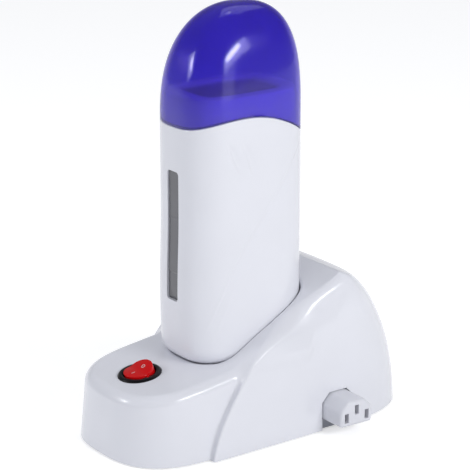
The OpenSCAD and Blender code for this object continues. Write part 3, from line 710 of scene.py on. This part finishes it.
def marksBm():
    # a bar on the pressed half and a ring on the standing half, printed a little proud
    s = switch
    slope = math.radians(s["tilt"])
    bm = bmesh.new()
    bmesh.ops.create_cube(bm, size=1, matrix=Matrix.Diagonal((0.45 * mm, 2.3 * mm, 0.12 * mm, 1)))
    ring = bmesh.new()
    corners = [(0.75, -0.06), (1.2, -0.06), (1.2, 0.06), (0.75, 0.06)]
    verts = [ring.verts.new((x * mm, 0, z * mm)) for x, z in corners]
    edges = [ring.edges.new((verts[i], verts[(i + 1) % 4])) for i in range(4)]
    bmesh.ops.spin(ring, geom=verts + edges, cent=(0, 0, 0), axis=(0, 0, 1), angle=2 * math.pi,
                   steps=32, use_merge=True)
    bmesh.ops.remove_doubles(ring, verts=ring.verts, dist=1e-6)
    for piece, side in ((bm, -1), (ring, 1)):
        y = s["markY"] * side
        top = Matrix.Translation((0, y * mm, (1.82 + abs(y) * math.tan(slope)) * mm))
        lie = top @ Matrix.Rotation(side * slope, 4, "X")
        bmesh.ops.transform(piece, matrix=rest @ lie, verts=piece.verts)
    joinBm(bm, ring)
    return bm


makePiece("switchMarks", marksBm(), "rocker", markWhite)
print("switch made")


# ---- outlet ----

def outletBm():
    s = port
    bm = alongX(barBm(portOutline(0), s["face"] - 38), 38)
    roundEdges(bm, s["edge"], 4, minAngle=20, keep=lambda e: all(v.co.x > 60 * mm for v in e.verts)
               or abs(e.verts[0].co.x - e.verts[1].co.x) > 5 * mm)
    flange = alongX(barBm(portOutline(2.0), 2), 39)
    bmesh.ops.bisect_plane(flange, geom=flange.verts[:] + flange.edges[:] + flange.faces[:],
                           plane_co=(0, 0, (s["z"] - 0.3) * mm), plane_no=(0, 0, -1), clear_outer=True)
    bmesh.ops.holes_fill(flange, edges=flange.edges, sides=0)
    joinBm(bm, flange)
    return bm


def slotBars(x0, x1, y, z):
    bars = []
    for dy, dz in ((-port["pitch"] / 2, 5.3), (port["pitch"] / 2, 5.3), (0, 9.3)):
        bm = barBm([(dy - y / 2, dz - z / 2), (dy + y / 2, dz - z / 2),
                    (dy + y / 2, dz + z / 2), (dy - y / 2, dz + z / 2)], x1 - x0)
        bars.append(alongX(bm, x0))
    return bars


# the outlet's greyer white is painted shade against the strong side lamp
outlet = makePiece("sideOutlet", outletBm(), "base", outletPaintedShadeAbs, ["side_outlet"])
cutAway(outlet, slotBars(port["face"] - 16, port["face"] + 1, *port["slot"]))
finishPiece(outlet, "base", outletPaintedShadeAbs, [], 34)
print("outlet made")


# ---- handset ----

relief = {"foldStep": 0.32, "ridge": 0.17, "scoop": 0.6,
          # sharp front edges of the two scoops: y, z of their top, middle and foot
          "scoops": (((-21.1, 172.1), (-17.8, 162.2), (-12.6, 152.5)),
                     ((-11.9, 171.3), (-9.3, 163.7), (-5.0, 150.7)))}


def sidePattern(y, z):
    # shallow relief of the wide sides, in mm inwards: a diagonal fold and two leaf-shaped scoops
    t = z - 65.7
    back = y - (-31.8 + 0.4 * t + 0.19 * (np.hypot(t - 39, 6) + t - 39))
    fold = relief["foldStep"] * softStep(back, -0.8, 0.8) * (1 - softStep(back, 5, 55))
    fold = fold - relief["ridge"] * np.exp(-(back / 0.7) ** 2)
    # below, the fold has a second faint edge
    fold = fold - 0.07 * np.exp(-((back - 5.5) / 1.1) ** 2) * (1 - softStep(z, 105, 125))
    deep = fold * softStep(z, 56, 76) * (1 - softStep(z, 158, 166))
    for edge in relief["scoops"]:
        behind = y - np.polyval(np.polyfit([p[1] for p in edge], [p[0] for p in edge], 2), z)
        along = (edge[0][1] - z) / (edge[0][1] - edge[2][1])
        ends = softStep(along, 0, 0.3) * (1 - softStep(along, 0.6, 1.05))
        deep = deep + relief["scoop"] * ends * softStep(behind, -0.5, 0.5) * (1 - softStep(behind, 0.8, 7))
    return deep


def handsetPoints():
    columns, rows = 380, 160
    # columns by length, closer together on the wide sides
    fine = np.linspace(0, 2 * np.pi, 6001)
    ring = handRing(fine, 120 + 0 * fine, 0)
    weight = np.where(np.abs(ring[1:, 0]) > 21, 1.7, 1.0)
    length = np.concatenate([[0], np.cumsum(weight * np.linalg.norm(np.diff(ring, axis=0), axis=1))])
    angle = np.interp(np.linspace(0, length[-1], columns + 1), length, fine)
    wall, foot = hand["wall"], hand["foot"]
    out = []
    for w in np.linspace(0, np.pi / 2, 13):
        z = hand["z"] + foot - foot * math.cos(w)
        out.append(handRing(angle, z + 0 * angle, foot * (1 - math.sin(w))))
    y = handRing(angle, 160 + 0 * angle, 0)[:, 1]
    top = rimAt(y)
    for k in range(1, rows + 1):
        z = (hand["z"] + foot) + (top - 0.35 - hand["z"] - foot) * k / rows
        p = handRing(angle, z, 0)
        flat = softStep(np.abs(p[:, 0]), 19, 25.5)
        deep = sidePattern(p[:, 1], p[:, 2]) * flat * softStep(top - z, 2, 8)
        out.append(handRing(angle, z, deep))
    for w in (30, 60, 90):
        turn = math.radians(w)
        out.append(handRing(angle, top - 0.35 * (1 - math.sin(turn)), 0.35 * (1 - math.cos(turn))))
    out.append(handRing(angle, top, wall))
    for k in range(1, 15):
        z = top - (top - hand["z"] - foot) * k / 14
        out.append(handRing(angle, z, wall))
    for w in np.linspace(np.pi / 2, 0, 6)[1:]:
        z = hand["z"] + foot - (foot - wall) * math.cos(w)
        out.append(handRing(angle, z + 0 * angle, wall + (foot - wall) * (1 - math.sin(w))))
    out.append(out[0])
    return np.stack(out, axis=1)


def windowBm(width, z0, z1, y0, y1, r=2.0):
    # rounded upright bar along Y, for the slot and the lens
    bm = bmesh.new()
    corners = []
    for cx, cz, a0 in ((width / 2 - r, z1 - r, 0), (r - width / 2, z1 - r, 90),
                       (r - width / 2, z0 + r, 180), (width / 2 - r, z0 + r, 270)):
        for k in range(7):
            a = math.radians(a0 + 15 * k)
            corners.append((cx + r * math.cos(a), cz + r * math.sin(a)))
    face = bm.faces.new([bm.verts.new((x * mm, y0 * mm, z * mm)) for x, z in corners])
    moved = bmesh.ops.extrude_face_region(bm, geom=[face])
    bmesh.ops.translate(bm, vec=(0, (y1 - y0) * mm, 0),
                        verts=[v for v in moved["geom"] if isinstance(v, bmesh.types.BMVert)])
    bmesh.ops.recalc_face_normals(bm, faces=bm.faces)
    return bm


window = {"width": 10.5, "z0": 79.5, "z1": 153, "gap": 0.35,
          "rib": 126.3, "step": 95.8, "slope": 87.5}  # heights of the marks seen through the smoke
handset = makePiece("handsetBody", mapGrid(handsetPoints()), "handset", whiteAbs,
                    ["handset_body"])
cutAway(handset, [windowBm(window["width"], window["z0"], window["z1"], -50, -33)])
finishPiece(handset, "handset", whiteAbs, [], 40)
print("handset body", len(handset.data.polygons))


def lensBm():
    # follows the front: a raised pane in the slot and a flange behind the wall
    half = window["width"] / 2 - window["gap"]
    flange = window["width"] / 2 + 2.5

    def skinY(x, z, inset):
        swell = handBulge(z)
        b, a = hand["b"] - inset, hand["a"] + swell / 2 - inset
        return -swell / 2 - a * (1 - (np.abs(x) / b) ** 3) ** (1 / 3)

    def pane(width, z0, z1, columns, rows, front, back, marked):
        # a closed curved plate between two insets from the handset's skin
        x, z = np.meshgrid(np.linspace(-width, width, columns), np.linspace(z0, z1, rows), indexing="ij")
        # a rib across, a step lower down and a sloping foot show through the smoke
        mark = (-0.14 * np.exp(-((z - window["rib"]) / 0.5) ** 2)
                + 0.3 * softStep(window["step"] - z, 0, 0.8)
                + 0.09 * np.maximum(window["slope"] - z, 0) * softStep(x, -width, -width + 3)) * marked
        plate = mapGrid(np.stack([x, skinY(x, z, front + mark), z], axis=-1))
        joinBm(plate, mapGrid(np.stack([x, skinY(x, z, back), z], axis=-1)))
        bmesh.ops.bridge_loops(plate, edges=[e for e in plate.edges if e.is_boundary])
        bmesh.ops.recalc_face_normals(plate, faces=plate.faces)
        return plate

    bm = pane(half, window["z0"] + window["gap"], window["z1"] - window["gap"], 13, 240, 0.9, 2.4, 1)
    joinBm(bm, pane(flange, window["z0"] - 3, window["z1"] + 3, 15, 41, 2.3, 3.3, 0))
    return bm


makePiece("windowLens", lensBm(), "handset", smokeLens, ["window_lens"], sharp=40)


def ringPoint(angle, a, b, yc, z):
    return np.stack([b * power(np.cos(angle), hand["n"]), yc + a * power(np.sin(angle), hand["n"]),
                     z + 0 * angle], axis=-1)


collar = {"mouthHalf": 17, "mouthLong": 25.5, "mouthN": 5}


def collarPoints():
    # the white sleeve: lower tier inside the body, upper tier inside the cap, and a top with the
    # mouth of the cartridge's well
    angle = np.linspace(0, 2 * np.pi, 181)
    a, b, top = hand["a"], hand["b"], hand["collarTop"]
    rows = [(4.1, 157, 0), (2.1, 157, 0), (2.1, 165, 0), (2.7, 166, 0), (2.7, 180, 0)]
    out = [ringPoint(angle, a - s, b - s, yc, z) for s, z, yc in rows]
    for w in (0, 22.5, 45, 67.5, 90):
        s = 3.4 + 1.4 * (1 - math.cos(math.radians(w)))
        out.append(ringPoint(angle, a - s, b - s + 0.1, 0.3, top - 1.4 + 1.4 * math.sin(math.radians(w))))

    def mouth(s, z):
        return np.stack([(collar["mouthHalf"] + s) * power(np.cos(angle), collar["mouthN"]),
                         (collar["mouthLong"] + s) * power(np.sin(angle), collar["mouthN"]),
                         z + 0 * angle], axis=-1)

    out += [mouth(0.8, top), mouth(0.25, top - 0.2), mouth(0, top - 0.8), mouth(0, top - 2)]
    rows = [(5.4, top - 2, 0.3), (4.7, 180, 0), (4.7, 165.5, 0), (4.1, 164, 0), (4.1, 157, 0)]
    out += [ringPoint(angle, a - s, b - s, yc, z) for s, z, yc in rows]
    return np.stack(out, axis=1)


makePiece("handsetCollar", mapGrid(collarPoints()), "handset", collarAbs, ["handset_collar"])


# ---- cap ----

cap = {"top": 242, "lean": 6.2, "wall": 2, "gap": 0.3, "lip": 0.5}


def capRing(angle, z, inset):
    zc = hand["rimZ"] - 5.5
    t = np.clip((z - zc) / (cap["top"] - zc), 0, 1)
    f = np.maximum(1 - t ** 2.7, 0) ** (1 / 2.35)
    k = (cap["top"] - inset - zc) / (cap["top"] - zc)
    return ringPoint(angle, (hand["a"] - inset) * f, (hand["b"] - inset) * f, cap["lean"] * t ** 2.2,
                     zc + (z - zc) * k)


def capPoints():
    angle = np.linspace(0, 2 * np.pi, 201)
    zc = hand["rimZ"] - 5.5
    levels = cap["top"] - (cap["top"] - zc - 6) * np.linspace(0, 1, 64) ** 2.2
    out = [capRing(angle, z + 0 * angle, cap["wall"]) for z in levels]
    base0 = capRing(angle, zc + 0 * angle, 0)
    rim = rimAt(base0[:, 1]) + cap["gap"]
    r = cap["lip"]

    def lower(inset, lift):
        p = capRing(angle, zc + 0 * angle, inset)
        p[:, 2] = rim + lift
        return p

    start = capRing(angle, zc + 6 + 0 * angle, cap["wall"])
    for k in range(1, 9):
        p = lower(cap["wall"], r)
        out.append(start + (p - start) * k / 8)
    for w in (30, 60, 90):
        turn = math.radians(w)
        out.append(lower(cap["wall"] - r * (1 - math.cos(turn)), r * (1 - math.sin(turn))))
    for w in (60, 30, 0):
        out.append(lower(r * (1 - math.cos(math.radians(w))), r * (1 - math.sin(math.radians(w)))))
    end = capRing(angle, zc + 6 + 0 * angle, 0)
    p = lower(0, r)
    for k in range(1, 9):
        out.append(p + (end - p) * k / 8)
    out += [capRing(angle, z + 0 * angle, 0) for z in levels[::-1][1:]]
    return np.stack(out, axis=1)


capDome = makePiece("capDome", mapGrid(capPoints(), weld=2e-6), "cap", capAcrylic, ["cap"],
                    sharp=50)
# the lower edge takes the darker copy: painted shade where the eye looks along the wall and into the gap
capDome.data.materials.append(capRimPaintedShade)
for face in capDome.data.polygons:
    if face.center.z / mm < rimAt((face.center.y - handsetAxis.y) / mm) + cap["gap"] + 0.55:
        face.material_index = 1
print("handset and cap made")


# ---- stage: floor, light and camera ----

stage = {"floor": 4.0, "floorGlow": 0.53, "worldLight": 0.47,
         "brightSide": (-0.3, -0.9, 0.3), "backdrop": (-0.818, 0.575, 0.0),  # where each one lies
         "lampsAim": Vector((0, 0, 0.2)), "lampsAway": 1.15}


def seenDirectly(owner):
    # 1 for rays from the camera and for those mirrored or let through by the part
    path = addNode(owner, "ShaderNodeLightPath")
    seen = addNode(owner, "ShaderNodeMath", {"operation": "MAXIMUM"},
                   {0: path.outputs["Is Camera Ray"], 1: path.outputs["Is Glossy Ray"]})
    return addNode(owner, "ShaderNodeMath", {"operation": "MAXIMUM"},
                   {0: seen.outputs["Value"], 1: path.outputs["Is Transmission Ray"]}).outputs["Value"]


bm = bmesh.new()
bmesh.ops.create_grid(bm, x_segments=8, y_segments=8, size=stage["floor"])
mesh = bpy.data.meshes.new("studioFloor")
bm.to_mesh(mesh)
bm.free()
floor = bpy.data.objects.new("studioFloor", mesh)
floor.location.z = -0.00002
bpy.context.scene.collection.objects.link(floor)
# seamless paper: white to the eye, keeps a faint shadow
floorPaper, output, place = newMaterial("whitePaper")
paper = addNode(floorPaper, "ShaderNodeBsdfDiffuse", {"Color": (0.8, 0.8, 0.8, 1)})
pale = addNode(floorPaper, "ShaderNodeBsdfDiffuse", {"Color": (0.75, 0.75, 0.75, 1)})
glow = addNode(floorPaper, "ShaderNodeEmission", {"Color": (1, 1, 1, 1), "Strength": stage["floorGlow"]})
both = addNode(floorPaper, "ShaderNodeAddShader", None,
               {0: pale.outputs["BSDF"], 1: glow.outputs["Emission"]})
mix = addNode(floorPaper, "ShaderNodeMixShader", None,
              {0: seenDirectly(floorPaper), 1: paper.outputs["BSDF"], 2: both.outputs["Shader"]})
floorPaper.node_tree.links.new(mix.outputs["Shader"], output.inputs["Surface"])
floor.data.materials.append(floorPaper)

world = bpy.data.worlds.new("studioWorld")
bpy.context.scene.world = world
world.use_nodes = True
world.node_tree.nodes.clear()
output = addNode(world, "ShaderNodeOutputWorld")
towards = addNode(world, "ShaderNodeTexCoord").outputs["Generated"]
height = addNode(world, "ShaderNodeSeparateXYZ", None, {0: towards}).outputs["Z"]
# light: a little more from the walls than from the ceiling
walls = addNode(world, "ShaderNodeMapRange",
                {"From Min": 0.0, "From Max": 0.9,
                 "To Min": 1.15 * stage["worldLight"], "To Max": 0.7 * stage["worldLight"]},
                {"Value": height})
# and a little more from the side of the nose than from behind
nose = addNode(world, "ShaderNodeVectorMath", {"operation": "DOT_PRODUCT", 1: stage["brightSide"]},
               {0: towards})
side = addNode(world, "ShaderNodeMapRange",
               {"From Min": -1.0, "From Max": 1.0, "To Min": 0.55, "To Max": 1.78},
               {"Value": nose.outputs["Value"]})
level = addNode(world, "ShaderNodeMath", {"operation": "MULTIPLY"},
                {0: walls.outputs["Result"], 1: side.outputs["Result"]})
lightOnly = addNode(world, "ShaderNodeBackground", {"Color": (0.93, 0.95, 1.0, 1)},
                    {"Strength": level.outputs["Value"]})
# what gloss and clear plastic see: a white backdrop behind the part, dimmer above it and around it
ceiling = addNode(world, "ShaderNodeMapRange",
                  {"From Min": 0.0, "From Max": 0.32, "To Min": 1.0, "To Max": 0.22},
                  {"Value": height})
facing = addNode(world, "ShaderNodeVectorMath", {"operation": "DOT_PRODUCT", 1: stage["backdrop"]},
                 {0: towards})
room = addNode(world, "ShaderNodeMapRange",
               {"From Min": 0.4, "From Max": 0.95, "To Min": 0.3, "To Max": 1.0},
               {"Value": facing.outputs["Value"]})
both = addNode(world, "ShaderNodeMath", {"operation": "MULTIPLY"},
               {0: ceiling.outputs["Result"], 1: room.outputs["Result"]})
# the camera itself sees white from every side
white = addNode(world, "ShaderNodeMath", {"operation": "MAXIMUM"},
                {0: both.outputs["Value"], 1: addNode(world, "ShaderNodeLightPath").outputs["Is Camera Ray"]})
whiteSeen = addNode(world, "ShaderNodeBackground", None, {"Color": white.outputs["Value"]})
mix = addNode(world, "ShaderNodeMixShader", None,
              {0: seenDirectly(world), 1: lightOnly.outputs["Background"],
               2: whiteSeen.outputs["Background"]})
world.node_tree.links.new(mix.outputs["Shader"], output.inputs["Surface"])

# soft boxes: azimuth (0 is the nose, 90 the side with the outlet) and elevation in degrees,
# width and height in metres, turn about its own middle, radiance
softBoxes = {
    "overhead": {"towards": (-135, 62), "size": (0.85, 0.6), "radiance": 0.8},
    "overheadCore": {"towards": (-124, 71), "size": (0.16, 0.12), "radiance": 2.6},
    "rightCore": {"towards": (100, 24), "size": (0.46, 0.14), "roll": 17, "radiance": 18.0},
    "rightSoft": {"towards": (103, 22), "size": (0.74, 0.3), "roll": 14, "radiance": 3.5},
    "rightFill": {"towards": (95, 3), "size": (0.4, 0.42), "radiance": 1.0},
    "frontCore": {"towards": (-31, 19), "size": (0.22, 0.1), "roll": -37, "radiance": 12.0},
    "frontSoft": {"towards": (-32, 18), "size": (0.42, 0.24), "roll": -45, "radiance": 4.0}}
for name, box in softBoxes.items():
    lamp = bpy.data.lights.new(name, "AREA")
    lamp.shape = "RECTANGLE"
    lamp.size, lamp.size_y = box["size"]
    lamp.energy = box["radiance"] * math.pi * box["size"][0] * box["size"][1]
    item = bpy.data.objects.new(name, lamp)
    azimuth, elevation = (math.radians(a) for a in box["towards"])
    direction = Vector((math.sin(azimuth) * math.cos(elevation), -math.cos(azimuth) * math.cos(elevation),
                        math.sin(elevation)))
    item.location = stage["lampsAim"] + direction * stage["lampsAway"]
    roll = Matrix.Rotation(math.radians(box.get("roll", 0)), 3, "Z")
    item.rotation_euler = (direction.to_track_quat("Z", "Y").to_matrix() @ roll).to_euler()
    bpy.context.scene.collection.objects.link(item)

view = {"at": (0.94121, -0.67086, 0.46930), "turn": (72.743, 0, 54.915), "lens": 166.73}
camera = bpy.data.cameras.new("camera")
camera.sensor_fit = "HORIZONTAL"
camera.sensor_width, camera.lens = 36, view["lens"]
camera.clip_start, camera.clip_end = 0.05, 30
cameraObject = bpy.data.objects.new("camera", camera)
cameraObject.location = view["at"]
cameraObject.rotation_euler = [math.radians(a) for a in view["turn"]]
bpy.context.scene.collection.objects.link(cameraObject)
bpy.context.scene.camera = cameraObject
bpy.context.scene.view_settings.view_transform = "Standard"
print("stage set")
